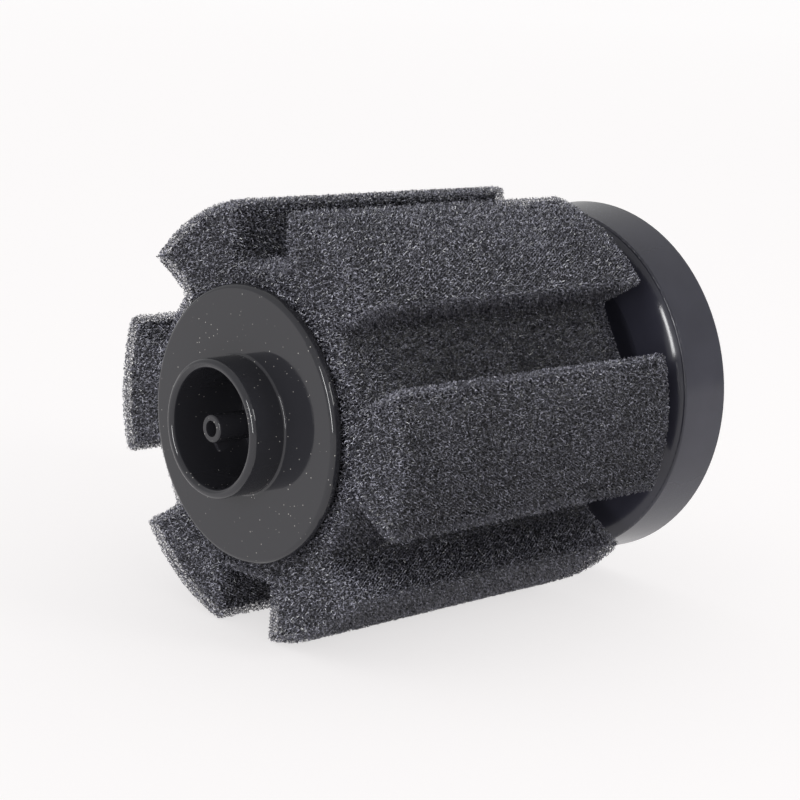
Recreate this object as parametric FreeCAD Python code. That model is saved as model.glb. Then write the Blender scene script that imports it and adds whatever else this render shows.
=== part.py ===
import FreeCAD, Part
import math
import os

# Air-driven aquarium sponge filter: weighted round base, slotted strainer tube,
# six-lobed foam sleeve, top cap with a riser collar, and an air nozzle in the collar.
# Millimetres, +Z up the filter's axis, origin at the centre of the base's underside.

# Heights along the axis
SEAT_Z = 24.6
CAP_Z = 107.2
RIM_Z = 118.5

# Weighted base
BASE_FOOT_R = 43.0
BASE_RIM_R = 41.9
BASE_RIM_Z = 12.2
SHOULDER_R = 37.4
SHOULDER_Z = 14.5
DECK_R = 31.0
DECK_Z = 15.7
SEAT_R = 20.5
WALL = 2.2
SPIGOT_CHAMFER = 1.0
RIM_ROUND = 0.6
COVER_R = 40.75
COVER_REBATE_R = 40.8
COVER_LOW_Z = 0.4
COVER_TOP_Z = 2.4
BALLAST_OUT_R = 37.0
BALLAST_IN_R = 18.0
BALLAST_TOP_Z = 8.4
RIB_R = 17.6
RIB_T = 1.2
RIB_TOP_Z = 7.0

# Push fits shared by the base, the strainer tube and the cap
SPIGOT_R = 14.0
SPIGOT_LEN = 12.0
SPIGOT_WALL_R = 11.8
TUBE_IN_R = 14.1
TUBE_OUT_R = 16.1

# Slots in the strainer tube
SLOT_WIDTH = 2.6
SLOT_LEN = 9.0
SLOT_ROWS = 4
SLOT_COLUMNS = 8
PLAIN_BAND = 14.5

# Foam sleeve
SPONGE_R = 47.5
SPONGE_BORE_R = 16.4
GROOVE_WIDTH = 16.5
GROOVE_FLOOR_R = 34.0
GROOVES = 6
LOBE_EDGE_R = 2.5

# Top cap
FLANGE_R = 30.0
FLANGE_T = 2.8
FLANGE_EDGE_R = 1.1
COLLAR_OUT_R = 14.9
COLLAR_IN_R = 12.8
COLLAR_LIP_R = 1.0
COLLAR_ROOT_R = 0.5
LEDGE_R = 11.9
LEDGE_Z = 96.8

# Air nozzle
STEM_R = 3.0
STEM_BORE_R = 1.75
STEM_TOP_Z = 117.8
STEM_LOW_Z = 89.6
STEM_EDGE_R = 0.4
GUSSET_T = 1.2
GUSSET_TOP_Z = 116.8
GUSSET_TIP_R = 5.2
GUSSET_TIP_Z = 115.4
GUSSET_LOW_Z = 109.6
SPOKE_T = 1.4
SPOKE_COUNT = 4
RING_OUT_R = 12.7
RING_IN_R = 11.7
RING_TOP_Z = 99.4

# Air diffuser
DIFFUSER_R = 8.0
DIFFUSER_TOP_Z = 91.2
DIFFUSER_LOW_Z = 86.6
DIFFUSER_WALL = 1.2
DIFFUSER_EDGE_R = 0.8
DIFFUSER_SOCKET_R = 3.05
DIFFUSER_HOLE_R = 0.5
DIFFUSER_HOLE_RING_R = 5.2
DIFFUSER_HOLES = 12

UP = FreeCAD.Vector(0, 0, 1)
CENTRE = FreeCAD.Vector(0, 0, 0)


def point(radius, height):
    return FreeCAD.Vector(radius, 0, height)


def disc(radius, low, high):
    return Part.makeCylinder(radius, high - low, point(0, low))


def ring(outer, inner, low, high):
    return disc(outer, low, high).cut(disc(inner, low - 1, high + 1))


def line(start, end):
    return Part.makeLine(point(*start), point(*end))


def arc(start, middle, end):
    return Part.Arc(point(*start), point(*middle), point(*end)).toShape()


def revolve(edges):
    wire = Part.Wire(edges)
    return Part.Face(wire).revolve(CENTRE, UP, 360)


def turned(shape, degrees):
    copy = shape.copy()
    copy.rotate(CENTRE, UP, degrees)
    return copy


def around(shape, count, first=0.0):
    return [turned(shape, first + 360.0 * k / count) for k in range(count)]


def edges_at(shape, radius, height):
    found = []
    for edge in shape.Edges:
        curve = edge.Curve
        if not isinstance(curve, Part.Circle):
            continue
        if abs(curve.Radius - radius) < 0.01 and abs(curve.Center.z - height) < 0.01:
            found.append(edge)
    return found


def make_base_shell():
    """Outside: tapered wall, small rim, rounded shoulder, low cone and a flared neck to the seat.
    Inside: the same line one wall thickness in, closed at the top of the spigot."""
    top = SEAT_Z + SPIGOT_LEN
    crest = (BASE_RIM_R - RIM_ROUND, BASE_RIM_Z + 0.9 * RIM_ROUND)
    inner_rim = (BASE_RIM_R - 3.6, BASE_RIM_Z - 1.2)
    inner_deck = (DECK_R, DECK_Z - WALL)
    inner_neck = (SEAT_R - WALL, SEAT_Z - WALL)
    edges = [
        line((0, top), (SPIGOT_R - SPIGOT_CHAMFER, top)),
        line((SPIGOT_R - SPIGOT_CHAMFER, top), (SPIGOT_R, top - SPIGOT_CHAMFER)),
        line((SPIGOT_R, top - SPIGOT_CHAMFER), (SPIGOT_R, SEAT_Z)),
        line((SPIGOT_R, SEAT_Z), (SEAT_R, SEAT_Z)),
        arc((SEAT_R, SEAT_Z), (SEAT_R + 2.6, DECK_Z + 2.9), (DECK_R, DECK_Z)),
        line((DECK_R, DECK_Z), (SHOULDER_R, SHOULDER_Z)),
        arc((SHOULDER_R, SHOULDER_Z), (SHOULDER_R + 2.1, SHOULDER_Z - 0.62), crest),
        arc(crest, (BASE_RIM_R - 0.17, BASE_RIM_Z + 0.35), (BASE_RIM_R, BASE_RIM_Z)),
        line((BASE_RIM_R, BASE_RIM_Z), (BASE_FOOT_R, 0)),
        line((BASE_FOOT_R, 0), (COVER_REBATE_R, 0)),
        line((COVER_REBATE_R, 0), (COVER_REBATE_R, COVER_TOP_Z)),
        line((COVER_REBATE_R, COVER_TOP_Z), (inner_rim[0] + 1.2, COVER_TOP_Z)),
        line((inner_rim[0] + 1.2, COVER_TOP_Z), inner_rim),
        line(inner_rim, inner_deck),
        arc(inner_deck, (SEAT_R + 0.6, DECK_Z + 1.4), inner_neck),
        line(inner_neck, (SPIGOT_WALL_R, SEAT_Z - WALL)),
        line((SPIGOT_WALL_R, SEAT_Z - WALL), (SPIGOT_WALL_R, top - WALL)),
        line((SPIGOT_WALL_R, top - WALL), (0, top - WALL)),
        line((0, top - WALL), (0, top)),
    ]
    return revolve(edges)


def make_base_cover():
    plate = disc(COVER_R, COVER_LOW_Z, COVER_TOP_Z)
    rib = ring(RIB_R, RIB_R - RIB_T, COVER_TOP_Z - 0.5, RIB_TOP_Z)
    return plate.fuse(rib).removeSplitter()


def make_ballast():
    return ring(BALLAST_OUT_R, BALLAST_IN_R, COVER_TOP_Z, BALLAST_TOP_Z)


def make_strainer_tube():
    tube = ring(TUBE_OUT_R, TUBE_IN_R, SEAT_Z, CAP_Z)
    low = SEAT_Z + PLAIN_BAND
    high = CAP_Z - PLAIN_BAND
    pitch = (high - low - SLOT_LEN) / (SLOT_ROWS - 1)
    cutters = []
    for row in range(SLOT_ROWS):
        corner = FreeCAD.Vector(TUBE_IN_R - 2, -SLOT_WIDTH / 2, low + pitch * row)
        slot = Part.makeBox(TUBE_OUT_R - TUBE_IN_R + 4, SLOT_WIDTH, SLOT_LEN, corner)
        cutters += around(slot, SLOT_COLUMNS)
    return tube.cut(cutters)


def make_sponge():
    sleeve = ring(SPONGE_R, SPONGE_BORE_R, SEAT_Z, CAP_Z)
    corner = FreeCAD.Vector(GROOVE_FLOOR_R, -GROOVE_WIDTH / 2, SEAT_Z - 1)
    groove = Part.makeBox(SPONGE_R, GROOVE_WIDTH, CAP_Z - SEAT_Z + 2, corner)
    sleeve = sleeve.cut(around(groove, GROOVES, 30))
    corners = []
    for edge in sleeve.Edges:
        start = edge.Vertexes[0].Point
        end = edge.Vertexes[-1].Point
        upright = abs(start.x - end.x) + abs(start.y - end.y) < 0.01
        if upright and math.hypot(start.x, start.y) > SPONGE_R - 0.1:
            corners.append(edge)
    return sleeve.makeFillet(LOBE_EDGE_R, corners)


def make_top_cap():
    flange_top = CAP_Z + FLANGE_T
    flange = disc(FLANGE_R, CAP_Z, flange_top)
    rim_edges = edges_at(flange, FLANGE_R, flange_top) + edges_at(flange, FLANGE_R, CAP_Z)
    flange = flange.makeFillet(FLANGE_EDGE_R, rim_edges)
    collar = disc(COLLAR_OUT_R, CAP_Z + 1, RIM_Z)
    spigot = disc(SPIGOT_R, CAP_Z - SPIGOT_LEN, CAP_Z + 1)
    solid = flange.fuse([collar, spigot])
    bore = disc(COLLAR_IN_R, LEDGE_Z, RIM_Z + 1)
    lower_bore = disc(LEDGE_R, CAP_Z - SPIGOT_LEN - 1, LEDGE_Z + 1)
    cap = solid.cut([bore, lower_bore]).removeSplitter()
    lip = edges_at(cap, COLLAR_OUT_R, RIM_Z) + edges_at(cap, COLLAR_IN_R, RIM_Z)
    cap = cap.makeFillet(COLLAR_LIP_R, lip)
    return cap.makeFillet(COLLAR_ROOT_R, edges_at(cap, COLLAR_OUT_R, flange_top))


def make_gusset():
    """Small triangular fin on the stem, just under its tip."""
    corners = [(0, GUSSET_LOW_Z), (STEM_R, GUSSET_LOW_Z), (GUSSET_TIP_R, GUSSET_TIP_Z),
               (STEM_R, GUSSET_TOP_Z), (0, GUSSET_TOP_Z)]
    outline = [FreeCAD.Vector(r, -GUSSET_T / 2, z) for r, z in corners + corners[:1]]
    fin = Part.Face(Part.makePolygon(outline)).extrude(FreeCAD.Vector(0, GUSSET_T, 0))
    return turned(fin, -90)


def make_air_nozzle():
    stem = disc(STEM_R, STEM_LOW_Z, STEM_TOP_Z)
    stem = stem.makeFillet(STEM_EDGE_R, edges_at(stem, STEM_R, STEM_TOP_Z))
    hoop = ring(RING_OUT_R, RING_IN_R, LEDGE_Z, RING_TOP_Z)
    corner = FreeCAD.Vector(0, -SPOKE_T / 2, LEDGE_Z)
    spoke = Part.makeBox(RING_IN_R + 0.4, SPOKE_T, RING_TOP_Z - LEDGE_Z - 0.4, corner)
    solid = stem.fuse(around(spoke, SPOKE_COUNT) + [hoop, make_gusset()])
    bore = disc(STEM_BORE_R, STEM_LOW_Z - 1, STEM_TOP_Z + 1)
    return solid.cut(bore).removeSplitter()


def make_air_diffuser():
    drum = disc(DIFFUSER_R, DIFFUSER_LOW_Z, DIFFUSER_TOP_Z)
    drum = drum.makeFillet(DIFFUSER_EDGE_R, edges_at(drum, DIFFUSER_R, DIFFUSER_LOW_Z))
    chamber = disc(DIFFUSER_R - DIFFUSER_WALL, DIFFUSER_LOW_Z + DIFFUSER_WALL, STEM_LOW_Z)
    socket = disc(DIFFUSER_SOCKET_R, STEM_LOW_Z - 1, DIFFUSER_TOP_Z + 1)
    foot = FreeCAD.Vector(DIFFUSER_HOLE_RING_R, 0, STEM_LOW_Z - 1)
    hole = Part.makeCylinder(DIFFUSER_HOLE_R, DIFFUSER_TOP_Z - STEM_LOW_Z + 2, foot)
    return drum.cut([chamber, socket] + around(hole, DIFFUSER_HOLES))


SUBPARTS = {
    "base_shell": make_base_shell,
    "base_bottom_cover": make_base_cover,
    "ballast_ring": make_ballast,
    "strainer_tube": make_strainer_tube,
    "sponge": make_sponge,
    "top_cap": make_top_cap,
    "air_nozzle": make_air_nozzle,
    "air_diffuser": make_air_diffuser,
}

os.makedirs("parts", exist_ok=True)
for node, make in SUBPARTS.items():
    shape = make()
    shape.exportStep("parts/" + node + ".step")
    box = shape.BoundBox
    print(node, shape.isValid(), len(shape.Solids), round(shape.Volume / 1000, 2), "cm3",
          [round(v, 2) for v in (box.XMin, box.XMax, box.YMin, box.YMax, box.ZMin, box.ZMax)])
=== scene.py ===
import bpy
import math
import numpy as np
from mathutils import Matrix, Vector


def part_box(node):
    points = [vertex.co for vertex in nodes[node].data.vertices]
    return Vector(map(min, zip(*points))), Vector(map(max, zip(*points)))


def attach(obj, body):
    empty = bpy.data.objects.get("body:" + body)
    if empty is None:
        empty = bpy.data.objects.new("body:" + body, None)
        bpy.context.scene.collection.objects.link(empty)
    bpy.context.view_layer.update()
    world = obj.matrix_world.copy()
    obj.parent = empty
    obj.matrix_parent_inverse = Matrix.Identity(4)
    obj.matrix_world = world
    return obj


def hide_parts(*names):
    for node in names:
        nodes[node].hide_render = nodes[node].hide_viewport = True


# Air-driven aquarium sponge filter, lying on two of its foam lobes.
# The frame is in metres with +Z along the filter's axis; the foam is worked out in millimetres.

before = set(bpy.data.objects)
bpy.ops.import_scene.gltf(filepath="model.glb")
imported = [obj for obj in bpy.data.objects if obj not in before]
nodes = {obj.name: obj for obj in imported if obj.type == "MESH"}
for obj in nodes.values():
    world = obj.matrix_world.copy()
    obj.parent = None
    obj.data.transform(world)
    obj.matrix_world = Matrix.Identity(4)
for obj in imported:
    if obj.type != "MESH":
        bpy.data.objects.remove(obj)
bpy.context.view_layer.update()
MM = 0.001

sponge_low, sponge_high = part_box("sponge")
tube_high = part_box("strainer_tube")[1]

# Foam sleeve: its outline, in millimetres
FOAM_R = sponge_high[0] / MM
FOAM_LOW_Z = sponge_low[2] / MM
FOAM_HIGH_Z = sponge_high[2] / MM
BORE_R = tube_high[0] / MM + 0.3
GROOVE_HALF = 8.25
GROOVE_FLOOR_R = 34.0
LOBES = 6
OUTLINE_STEP = 0.1
OUTLINE_ROUND = 1.25
EDGE_ROUND = 1.9

# Foam sleeve: its cells and struts, in millimetres, with heights measured out from the skin
PORE = 0.63
STRUT = 0.115
NET_HEIGHTS = (0.0, -0.8)
NET_SHAKE = 0.5
PIT_PORE = 1.35
PIT_RIDGE = -1.7
PIT_FLOOR = -3.0
PIT_INSET = 2.0
BORE_PORE = 2.2
BORE_RIDGE = -0.3
BORE_FLOOR = -1.2

# Foam sleeve: how uneven it is
CORNER_SHAKE = 0.34     # of a cell's side
RIDGE_SHAKE = 0.35      # of a cell's width
FLOOR_SHAKE = 0.4       # of a cell's width
STRUT_LEAN = 1.3        # radians either way
STRUT_HALF = (0.35, 0.75)   # of STRUT, the thinnest and thickest half width
MISSING_STRUTS = 0.06   # of all struts


# ---------------------------------------------------------------- materials

def linear(code):
    """Linear colour of an sRGB hex value."""
    parts = [int(code[k:k + 2], 16) / 255 for k in (1, 3, 5)]
    return [p / 12.92 if p < 0.04045 else ((p + 0.055) / 1.055) ** 2.4 for p in parts] + [1.0]


def add(tree, kind, values=None, links=None, **settings):
    """One shader node with its settings, its socket values and the links into it."""
    node = tree.nodes.new(kind)
    for name, value in settings.items():
        setattr(node, name, value)
    for socket, value in (values or {}).items():
        node.inputs[socket].default_value = value
    for socket, source in (links or {}).items():
        tree.links.new(source, node.inputs[socket])
    return node


def new_material(name, **values):
    """A material holding one Principled shader with these constants on its own sockets."""
    material = bpy.data.materials.new(name)
    material.use_nodes = True
    tree = material.node_tree
    shader = tree.nodes["Principled BSDF"]
    for socket, value in values.items():
        shader.inputs[socket.replace("_", " ")].default_value = value
    place = add(tree, "ShaderNodeTexCoord").outputs["Object"]
    return material, tree, shader, place


def ramp(tree, source, stops):
    """A colour ramp fed by source; stops are (place, hex colour)."""
    node = add(tree, "ShaderNodeValToRGB", links={"Fac": source})
    while len(node.color_ramp.elements) < len(stops):
        node.color_ramp.elements.new(0.5)
    for element, (at, code) in zip(node.color_ramp.elements, stops):
        element.position = at
        element.color = linear(code)
    return node.outputs["Color"]


def per_mm(size):
    """Texture scale, in repeats per metre, of a pattern that repeats every size millimetres."""
    return 1 / (size * MM)


def gloss_black_abs():
    """ABS moulded in a polished tool: mirror gloss over near-black, a faint swell in the skin
    where it shrank in the mould, a few rubbed patches and a little pale dust."""
    material, tree, shader, place = new_material("moulded_gloss_black_abs", IOR=1.48, Roughness=0.05)
    swell = add(tree, "ShaderNodeTexNoise", {"Scale": per_mm(9), "Detail": 1.0}, {"Vector": place})
    rubbed = add(tree, "ShaderNodeTexNoise", {"Scale": per_mm(6), "Detail": 4.0}, {"Vector": place})
    rough = add(tree, "ShaderNodeMapRange", {"From Min": 0.45, "From Max": 0.75, "To Min": 0.05,
                                             "To Max": 0.12}, {"Value": rubbed.outputs["Fac"]})
    speck = add(tree, "ShaderNodeTexVoronoi", {"Scale": per_mm(1.3)}, {"Vector": place})
    patch = add(tree, "ShaderNodeTexNoise", {"Scale": per_mm(11)}, {"Vector": place})
    near = add(tree, "ShaderNodeMapRange", {"From Min": 0.11, "From Max": 0.06},
               {"Value": speck.outputs["Distance"]})
    where = add(tree, "ShaderNodeMapRange", {"From Min": 0.44, "From Max": 0.56},
                {"Value": patch.outputs["Fac"]})
    dust = add(tree, "ShaderNodeMath", links={0: near.outputs[0], 1: where.outputs[0]},
               operation="MULTIPLY")
    colour = ramp(tree, dust.outputs[0], [(0.0, "#28282c"), (1.0, "#b4b1ac")])
    bump = add(tree, "ShaderNodeBump", {"Strength": 0.12, "Distance": 0.02 * MM},
               {"Height": swell.outputs["Fac"]})
    tree.links.new(colour, shader.inputs["Base Color"])
    tree.links.new(rough.outputs[0], shader.inputs["Roughness"])
    tree.links.new(bump.outputs["Normal"], shader.inputs["Normal"])
    return material


def base_abs():
    """ABS from a finely polished tool, handled since: gloss with a faint haze and hairline rubs
    that run round the base."""
    material, tree, shader, place = new_material("moulded_base_abs", IOR=1.5, Roughness=0.16)
    haze = add(tree, "ShaderNodeTexNoise", {"Scale": per_mm(14), "Detail": 5.0}, {"Vector": place})
    rub_space = add(tree, "ShaderNodeMapping", {"Scale": (0.25, 0.25, 3.0)}, {"Vector": place})
    rubs = add(tree, "ShaderNodeTexNoise", {"Scale": per_mm(1.4), "Detail": 3.0},
               {"Vector": rub_space.outputs[0]})
    rough = add(tree, "ShaderNodeMapRange", {"From Min": 0.35, "From Max": 0.7, "To Min": 0.13,
                                             "To Max": 0.24}, {"Value": haze.outputs["Fac"]})
    colour = ramp(tree, haze.outputs["Fac"], [(0.3, "#2a2a33"), (0.75, "#31313b")])
    bump = add(tree, "ShaderNodeBump", {"Strength": 0.08, "Distance": 0.01 * MM},
               {"Height": rubs.outputs["Fac"]})
    tree.links.new(colour, shader.inputs["Base Color"])
    tree.links.new(rough.outputs[0], shader.inputs["Roughness"])
    tree.links.new(bump.outputs["Normal"], shader.inputs["Normal"])
    return material


def strainer_pp():
    """Polypropylene from a plain tool: satin black with a fine spark-eroded grain of 0.25 mm."""
    material, tree, shader, place = new_material("moulded_strainer_polypropylene", IOR=1.49,
                                                 Roughness=0.42)
    grain = add(tree, "ShaderNodeTexNoise", {"Scale": per_mm(0.25), "Detail": 2.0}, {"Vector": place})
    colour = ramp(tree, grain.outputs["Fac"], [(0.3, "#111112"), (0.7, "#1b1b1d")])
    bump = add(tree, "ShaderNodeBump", {"Strength": 0.35, "Distance": 0.02 * MM},
               {"Height": grain.outputs["Fac"]})
    tree.links.new(colour, shader.inputs["Base Color"])
    tree.links.new(bump.outputs["Normal"], shader.inputs["Normal"])
    return material


def reticulated_polyurethane(name, dark, middle, light):
    """Charcoal reticulated polyurethane: glassy strut skins that spark where they face the light,
    with a slow change of tone over a few centimetres and a finer one from strut to strut. The
    three colours are those of the darkest, the usual and the palest struts."""
    material, tree, shader, place = new_material(name, IOR=1.5, Roughness=0.34)
    slow = add(tree, "ShaderNodeTexNoise", {"Scale": per_mm(18), "Detail": 2.0}, {"Vector": place})
    quick = add(tree, "ShaderNodeTexNoise", {"Scale": per_mm(0.6), "Detail": 1.0}, {"Vector": place})
    mixed = add(tree, "ShaderNodeMix", {"Factor": 0.88}, {2: slow.outputs["Fac"],
                                                         3: quick.outputs["Fac"]})
    colour = ramp(tree, mixed.outputs[0], [(0.36, dark), (0.5, middle), (0.66, light)])
    rough = add(tree, "ShaderNodeMapRange", {"From Min": 0.35, "From Max": 0.65, "To Min": 0.24,
                                             "To Max": 0.5}, {"Value": quick.outputs["Fac"]})
    tree.links.new(colour, shader.inputs["Base Color"])
    tree.links.new(rough.outputs[0], shader.inputs["Roughness"])
    return material


def zinc_steel():
    """Pressed steel ring with bright zinc plate: soft grey metal with a spangle of about 3 mm."""
    material, tree, shader, place = new_material("zinc_plated_steel", Metallic=1.0, Roughness=0.34)
    spangle = add(tree, "ShaderNodeTexVoronoi", {"Scale": per_mm(3)}, {"Vector": place})
    colour = ramp(tree, spangle.outputs["Distance"], [(0.1, "#9da0a3"), (0.8, "#c3c5c7")])
    tree.links.new(colour, shader.inputs["Base Color"])
    return material


# ---------------------------------------------------------------- foam sleeve

def star_outline():
    """Foam outline as arrays of arc length, x, y and outward normal. Each sixth is an arc at the
    outer radius and a groove floor; straight lines join them as the groove's sides. The closed
    line is sampled evenly and rounded by a Gaussian along its length."""
    swing = math.pi / LOBES - math.asin(GROOVE_HALF / FOAM_R)
    angle = np.linspace(-swing, swing, 40)
    arc = FOAM_R * np.exp(1j * angle)
    floor = GROOVE_FLOOR_R + 1j * np.array([-GROOVE_HALF, GROOVE_HALF])
    sixth = np.concatenate([arc, floor * np.exp(1j * math.pi / LOBES)])
    turns = np.exp(2j * math.pi * np.arange(LOBES) / LOBES)
    line = (turns[:, None] * sixth[None, :]).ravel()
    line = np.append(line, line[0])
    along = np.append(0, np.cumsum(np.abs(np.diff(line))))
    count = int(along[-1] / OUTLINE_STEP)
    at = np.arange(count) * along[-1] / count
    even = np.interp(at, along, line.real) + 1j * np.interp(at, along, line.imag)
    wave = np.fft.fftfreq(count, along[-1] / count)
    even = np.fft.ifft(np.fft.fft(even) * np.exp(-2 * (math.pi * wave * OUTLINE_ROUND) ** 2))
    way = np.roll(even, -1) - np.roll(even, 1)
    normal = -1j * way / np.abs(way)
    return at, along[-1], even, normal


def depth_inside(x, y):
    """Distance from a point in the foam's cross-section to its nearest outline: the outer circle,
    the bore, or one of the grooves, each a strip that starts at the groove floor."""
    radius = np.hypot(x, y)
    depth = np.minimum(FOAM_R - radius, radius - BORE_R)
    for k in range(LOBES):
        turn = (x + 1j * y) * np.exp(-1j * math.pi * (2 * k + 1) / LOBES)
        short = np.maximum(GROOVE_FLOOR_R - turn.real, 0)
        aside = np.maximum(np.abs(turn.imag) - GROOVE_HALF, 0)
        depth = np.minimum(depth, np.hypot(short, aside))
    return depth


def edge_drop(depth):
    """How far a surface has fallen away at this distance from an edge: a quarter circle."""
    short = np.clip(EDGE_ROUND - depth, 0, EDGE_ROUND)
    return EDGE_ROUND - np.sqrt(EDGE_ROUND ** 2 - short ** 2)


def wall_surface(outline):
    """The outer wall: arc length along the star outline, height z, and a height off the skin."""
    at, length, line, normal = outline

    def place(u, v, h):
        u = np.mod(u, length)
        point = np.interp(u, at, line.real) + 1j * np.interp(u, at, line.imag)
        out = np.interp(u, at, normal.real) + 1j * np.interp(u, at, normal.imag)
        out = out / np.abs(out)
        drop = edge_drop(np.minimum(v - FOAM_LOW_Z, FOAM_HIGH_Z - v))
        point = point + out * (h - drop)
        flat = np.zeros_like(v)
        return np.stack([point.real, point.imag, v], -1), np.stack([out.real, out.imag, flat], -1)
    return place


def end_surface(level, side):
    """One flat end: x and y of the cross-section; its rim falls away as a quarter circle."""
    def place(u, v, h):
        z = level + side * (h - edge_drop(depth_inside(u, v)))
        flat = np.zeros_like(u)
        return np.stack([u, v, z], -1), np.stack([flat, flat, flat + side], -1)
    return place


def bore_surface():
    """The bore: angle as arc length at the bore radius, height z, height off the skin inwards."""
    def place(u, v, h):
        out = np.exp(1j * u / BORE_R)
        point = out * (BORE_R - h)
        flat = np.zeros_like(v)
        return np.stack([point.real, point.imag, v], -1), np.stack([-out.real, -out.imag, flat], -1)
    return place


def comb(width, height, pore, seed):
    """Corners of a honeycomb of foam cells. Corner (row, column) lies at column x half a pore and
    row x 1.5 sides, moved up or down in turn by a sixth of a row, then shaken by up to a third of
    a side. Columns close on themselves, so the comb wraps round its width."""
    random = np.random.default_rng(seed)
    columns = 2 * int(round(width / pore))
    side = pore / math.sqrt(3)
    rows = int(round(height / (1.5 * side))) + 1
    row, column = np.mgrid[0:rows, 0:columns]
    u = column * width / columns
    v = (row + np.where((row + column) % 2 == 0, 1 / 6, -1 / 6)) * height / (rows - 1)
    u = u + random.uniform(-CORNER_SHAKE, CORNER_SHAKE, u.shape) * side
    v = v + random.uniform(-CORNER_SHAKE, CORNER_SHAKE, v.shape) * side
    return u, v, random


def same_turn(a, b, width):
    """b brought to the same turn as a, for struts that cross the seam of a wrapped comb."""
    return b + width * np.round((a - b) / width)


def ribs(place, width, height, base, seed, low, keep):
    """Struts of one net of foam. Each comb edge is a strut: horizontal ones join neighbouring
    columns, upright ones join a row's upper corners to the next row. A strut is a flat ribbon
    that leans at random about its own line, so that some catch the light and some do not."""
    u, v, random = comb(width, height, PORE, seed)
    h = base + random.uniform(-NET_SHAKE, NET_SHAKE, u.shape)
    v = v + low
    row, column = np.mgrid[0:u.shape[0] - 1, 0:u.shape[1]]
    up = (row + column) % 2 == 0
    corner = np.arange(u.size).reshape(u.shape)
    start = np.append(corner.ravel(), corner[:-1][up])
    end = np.append(np.roll(corner, -1, 1).ravel(), corner[1:][up])
    u, v, h = u.ravel(), v.ravel(), h.ravel()
    u_end = same_turn(u[start], u[end], width)
    good = keep(u[start], v[start]) & keep(u_end, v[end])
    good &= random.random(len(start)) > MISSING_STRUTS
    start, end, u_end = start[good], end[good], u_end[good]
    a, normal = place(u[start], v[start], h[start])
    b, _ = place(u_end, v[end], h[end])
    side = np.cross(normal, b - a)
    side /= np.maximum(np.linalg.norm(side, axis=1), 1e-9)[:, None]
    lean = random.uniform(-STRUT_LEAN, STRUT_LEAN, len(a))[:, None]
    half = STRUT * random.uniform(*STRUT_HALF, len(a))[:, None]
    foot = (side * np.cos(lean) + normal * np.sin(lean)) * half
    corners = np.stack([a - foot, a + foot, b - foot, b + foot], 1)
    first = 4 * np.arange(len(a))[:, None, None]
    return corners.reshape(-1, 3), (first + np.array([[0, 1, 3], [0, 3, 2]])).reshape(-1, 3)


def pits(place, width, height, pore, ridge, floor, seed, low, keep, flip=False):
    """The foam behind the nets: every comb cell is a six-sided pit, its rim on the comb corners
    near the ridge height and its centre near the floor height. flip turns the faces over, for a
    surface whose two directions run the other way round."""
    u, v, random = comb(width, height, pore, seed)
    h = ridge + random.uniform(-RIDGE_SHAKE, RIDGE_SHAKE, u.shape) * pore
    v = v + low
    rows, columns = u.shape
    row, column = np.mgrid[0:rows - 1, 0:columns]
    cell = (row + column) % 2 == 0
    row, column = row[cell], column[cell]
    ring = [(row, column), (row, column + 1), (row, column + 2),
            (row + 1, column + 2), (row + 1, column + 1), (row + 1, column)]
    index = np.stack([r * columns + c % columns for r, c in ring], 1)
    u_flat, v_flat, h_flat = u.ravel(), v.ravel(), h.ravel()
    u_ring = same_turn(u_flat[index[:, :1]], u_flat[index], width)
    u_mid, v_mid = u_ring.mean(1), v_flat[index].mean(1)
    good = keep(u_mid, v_mid)
    index, u_mid, v_mid = index[good], u_mid[good], v_mid[good]
    h_mid = floor + random.uniform(-FLOOR_SHAKE, FLOOR_SHAKE, len(u_mid)) * pore
    rim, _ = place(u_flat, v_flat, h_flat)
    middle, _ = place(u_mid, v_mid, h_mid)
    points = np.concatenate([rim, middle])
    centre = len(rim) + np.arange(len(middle))
    fans = [np.stack([index[:, k], index[:, (k + 1) % 6], centre], 1) for k in range(6)]
    faces = np.concatenate(fans)
    return points, faces[:, ::-1] if flip else faces


def mesh_piece(name, parts):
    """One object from several (points in millimetres, triangles) pairs, without loose points."""
    points, faces, count = [], [], 0
    for part_points, part_faces in parts:
        points.append(part_points)
        faces.append(part_faces + count)
        count += len(part_points)
    points, faces = np.concatenate(points) * MM, np.concatenate(faces)
    used, index = np.unique(faces, return_inverse=True)
    points, faces = points[used], index.reshape(faces.shape)
    mesh = bpy.data.meshes.new(name)
    mesh.vertices.add(len(points))
    mesh.vertices.foreach_set("co", points.astype(np.float32).ravel())
    mesh.loops.add(faces.size)
    mesh.loops.foreach_set("vertex_index", faces.astype(np.int32).ravel())
    mesh.polygons.add(len(faces))
    mesh.polygons.foreach_set("loop_start", np.arange(0, faces.size, 3, dtype=np.int32))
    mesh.update(calc_edges=True)
    piece = bpy.data.objects.new(name, mesh)
    bpy.context.scene.collection.objects.link(piece)
    return piece


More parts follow.
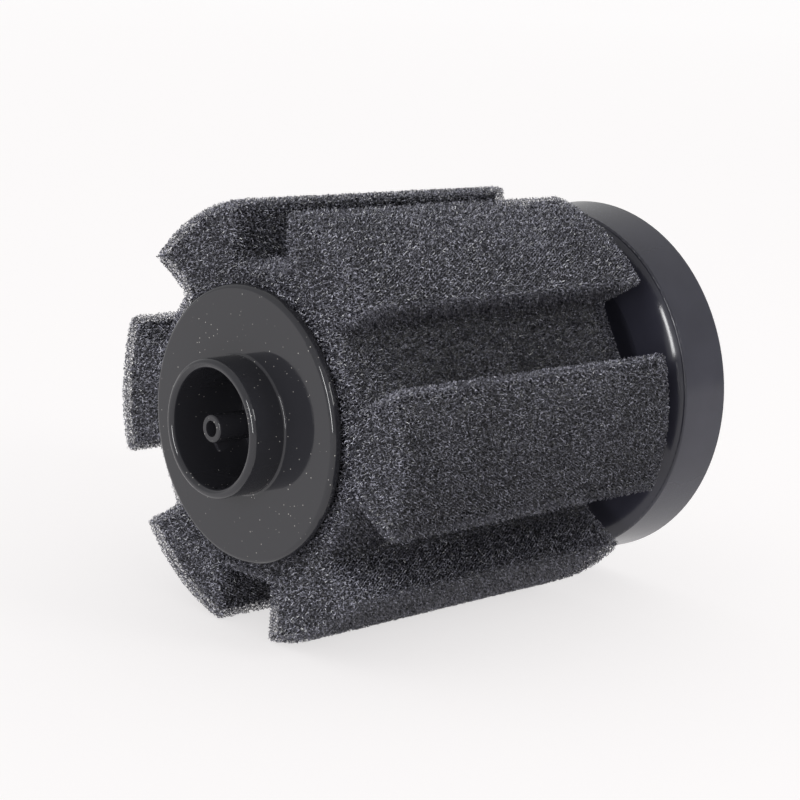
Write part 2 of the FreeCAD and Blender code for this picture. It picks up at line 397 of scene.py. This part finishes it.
def foam_sleeve():
    """The foam as two pieces: its pitted body, on the wall, both ends and the bore, and the nets
    of struts that stand in front of the body on the wall and the ends."""
    outline = star_outline()
    height = FOAM_HIGH_Z - FOAM_LOW_Z
    wall = wall_surface(outline)
    span = 2 * FOAM_R + 2

    def on_wall(u, v):
        return (v > FOAM_LOW_Z + 0.05) & (v < FOAM_HIGH_Z - 0.05)

    def on_end(u, v):
        return depth_inside(u, v) > 0.1

    def behind_end(u, v):
        return depth_inside(u, v) > PIT_INSET

    def everywhere(u, v):
        return np.ones(u.shape, bool)

    body = [pits(wall, outline[1], height - 2 * PIT_INSET, PIT_PORE, PIT_RIDGE, PIT_FLOOR, 11,
                 FOAM_LOW_Z + PIT_INSET, everywhere)]
    struts = []
    for k, level in enumerate(NET_HEIGHTS):
        struts.append(ribs(wall, outline[1], height, level, 21 + k, FOAM_LOW_Z, on_wall))
    for end, side, seed in ((FOAM_HIGH_Z, 1, 31), (FOAM_LOW_Z, -1, 41)):
        place = end_surface(end, side)

        def centred(u, v, h, place=place):
            return place(u - span / 2, v - span / 2, h)

        def kept(u, v):
            return on_end(u - span / 2, v - span / 2)

        def kept_behind(u, v):
            return behind_end(u - span / 2, v - span / 2)

        body.append(pits(centred, span, span, PIT_PORE, PIT_RIDGE, PIT_FLOOR, seed, 0,
                         kept_behind, side < 0))
        for k, level in enumerate(NET_HEIGHTS):
            struts.append(ribs(centred, span, span, level, seed + 1 + k, 0, kept))
    body.append(pits(bore_surface(), 2 * math.pi * BORE_R, height, BORE_PORE, BORE_RIDGE,
                     BORE_FLOOR, 51, FOAM_LOW_Z, everywhere, True))
    return mesh_piece("foam_body", body), mesh_piece("foam_struts", struts)


# ---------------------------------------------------------------- camera, floor and light

CAMERA_DISTANCE = 0.463
CAMERA_AZIMUTH = 106.9
CAMERA_ELEVATION = 42.5
CAMERA_AIM = (0.0005, 0.0005, 0.064)
CAMERA_ROLL = 3.4
CAMERA_LENS = 91.6
FLOOR_Y = -0.0468
CARD_HALF = 20.0
FADE_FROM = 0.25
FADE_TO = 5.0
# Card colours beside the filter and far out: the nearer one is darker, a painted shade round the
# filter that gives way to the far one between FADE_FROM and FADE_TO metres.
CARD_NEAR_PAINTED_SHADE = "#b2b0b0"
CARD_FAR = "#b7b7b7"
CARD_GLOW = 0.68
ROOM_LIGHT = 0.62
KEY_LIGHT = 5.0
KEY_FROM = (-0.1, 0.8, 0.6)
KEY_SPREAD = 28     # degrees across
LAMP_AIM = (0, 0, 0.06)


def studio_camera():
    azimuth, elevation = math.radians(CAMERA_AZIMUTH), math.radians(CAMERA_ELEVATION)
    back = Vector((math.sin(azimuth) * math.cos(elevation),
                   -math.cos(azimuth) * math.cos(elevation), math.sin(elevation)))
    right = Vector((0, 1, 0)).cross(back).normalized()
    up = back.cross(right)
    turn = Matrix((right, up, back)).transposed().to_4x4()
    roll = Matrix.Rotation(math.radians(CAMERA_ROLL), 4, "Z")
    data = bpy.data.cameras.new("studio_camera")
    data.sensor_width = 36.0
    data.lens = CAMERA_LENS
    data.clip_start, data.clip_end = 0.01, 20
    camera = bpy.data.objects.new("studio_camera", data)
    bpy.context.scene.collection.objects.link(camera)
    camera.matrix_world = Matrix.Translation(Vector(CAMERA_AIM) + back * CAMERA_DISTANCE) @ turn @ roll
    bpy.context.scene.camera = camera


def studio_floor():
    """A pale card under the lying filter, facing +Y; from behind it is clear. It is lit from
    below as well, as a light table is, which leaves a faint shadow."""
    size = CARD_HALF
    mesh = bpy.data.meshes.new("studio_floor")
    corners = [(-size, FLOOR_Y, size), (size, FLOOR_Y, size), (size, FLOOR_Y, -size),
               (-size, FLOOR_Y, -size)]
    mesh.from_pydata(corners, [], [(0, 1, 2, 3)])
    floor = bpy.data.objects.new("studio_floor", mesh)
    bpy.context.scene.collection.objects.link(floor)
    material, tree, shader, place = new_material("pale_card", Roughness=0.9)
    # Painted shade: the card's colour is darker close to the filter and pales with distance from it.
    far = add(tree, "ShaderNodeVectorMath", links={0: place}, operation="LENGTH")
    painted_shade_fade = add(tree, "ShaderNodeMapRange", {"From Min": FADE_FROM, "From Max": FADE_TO},
               {"Value": far.outputs["Value"]})
    card = ramp(tree, painted_shade_fade.outputs[0], [(0.0, CARD_NEAR_PAINTED_SHADE), (1.0, CARD_FAR)])
    tree.links.new(card, shader.inputs["Base Color"])
    shader.inputs["Emission Color"].default_value = linear("#fffdfd")
    shader.inputs["Emission Strength"].default_value = CARD_GLOW
    shader.inputs["Specular IOR Level"].default_value = 0.1
    side = add(tree, "ShaderNodeNewGeometry")
    clear = add(tree, "ShaderNodeBsdfTransparent")
    both = add(tree, "ShaderNodeMixShader", links={0: side.outputs["Backfacing"],
                                                   1: shader.outputs[0], 2: clear.outputs[0]})
    tree.links.new(both.outputs[0], tree.nodes["Material Output"].inputs["Surface"])
    mesh.materials.append(material)


def softbox(name, place, size, power):
    """A rectangular lamp at place, turned to face the middle of the filter."""
    data = bpy.data.lights.new(name, "AREA")
    data.shape = "RECTANGLE"
    data.size, data.size_y = size
    data.energy = power
    lamp = bpy.data.objects.new(name, data)
    bpy.context.scene.collection.objects.link(lamp)
    lamp.location = place
    lamp.rotation_mode = "QUATERNION"
    lamp.rotation_quaternion = (Vector(LAMP_AIM) - Vector(place)).to_track_quat("-Z", "Y")
    return lamp


def light_only(lamp, pieces):
    """Makes a lamp light these pieces and nothing else."""
    lit = bpy.data.collections.new("lit_by_" + lamp.name)
    for piece in pieces:
        lit.objects.link(piece)
    lamp.light_linking.receiver_collection = lit


def studio_light():
    """A pale room, brighter to the eye than the light it gives; a broad even light on the foam
    from above the front end, as from a large window; a long box in front, which draws the bright
    lines along the rims of the cap and the base; and a weak box beside the base."""
    world = bpy.data.worlds.new("pale_room")
    bpy.context.scene.world = world
    world.use_nodes = True
    sky = world.node_tree.nodes["Background"]
    sky.inputs["Color"].default_value = linear("#fefefe")
    ray = add(world.node_tree, "ShaderNodeLightPath")
    strength = add(world.node_tree, "ShaderNodeMapRange", {"To Min": ROOM_LIGHT, "To Max": 0.99},
                   {"Value": ray.outputs["Is Camera Ray"]})
    world.node_tree.links.new(strength.outputs[0], sky.inputs["Strength"])
    softbox("rim_softbox", (0.85, 0.45, -0.25), (0.3, 0.3), 1.5)
    front = softbox("front_softbox", (0.38, 0.19, 1.05), (0.7, 0.16), 7.0)
    data = bpy.data.lights.new("key_window", "SUN")
    data.energy = KEY_LIGHT
    data.angle = math.radians(KEY_SPREAD)
    key = bpy.data.objects.new("key_window", data)
    bpy.context.scene.collection.objects.link(key)
    key.rotation_mode = "QUATERNION"
    key.rotation_quaternion = (-Vector(KEY_FROM)).to_track_quat("-Z", "Y")
    light_only(key, [foam_body, foam_struts])
    light_only(front, list(nodes.values()) + [foam_body, foam_struts])


# ---------------------------------------------------------------- assembly

def dress(name, material):
    """Gives every material slot of a CAD node this material."""
    piece = nodes[name]
    if not piece.data.materials:
        piece.data.materials.append(material)
    for slot in piece.material_slots:
        slot.material = material


gloss = gloss_black_abs()
for name in ("top_cap", "air_nozzle", "air_diffuser"):
    dress(name, gloss)
base_plastic = base_abs()
dress("base_shell", base_plastic)
dress("base_bottom_cover", base_plastic)
dress("strainer_tube", strainer_pp())
dress("ballast_ring", zinc_steel())

foam_body, foam_struts = foam_sleeve()
# The pitted body takes a darker copy of the foam material: painted shade in the depths behind the
# struts, which keep the foam's own colours.
foam_body.data.materials.append(
    reticulated_polyurethane("reticulated_polyurethane_painted_shade", "#0c0c0e", "#161619", "#2a2a30"))
foam_struts.data.materials.append(
    reticulated_polyurethane("reticulated_polyurethane_struts", "#16161a", "#34343b", "#80808c"))
for piece in (foam_body, foam_struts):
    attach(piece, "sponge")
    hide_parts("sponge")

bpy.context.scene.view_settings.view_transform = "Standard"
studio_floor()
studio_light()
studio_camera()
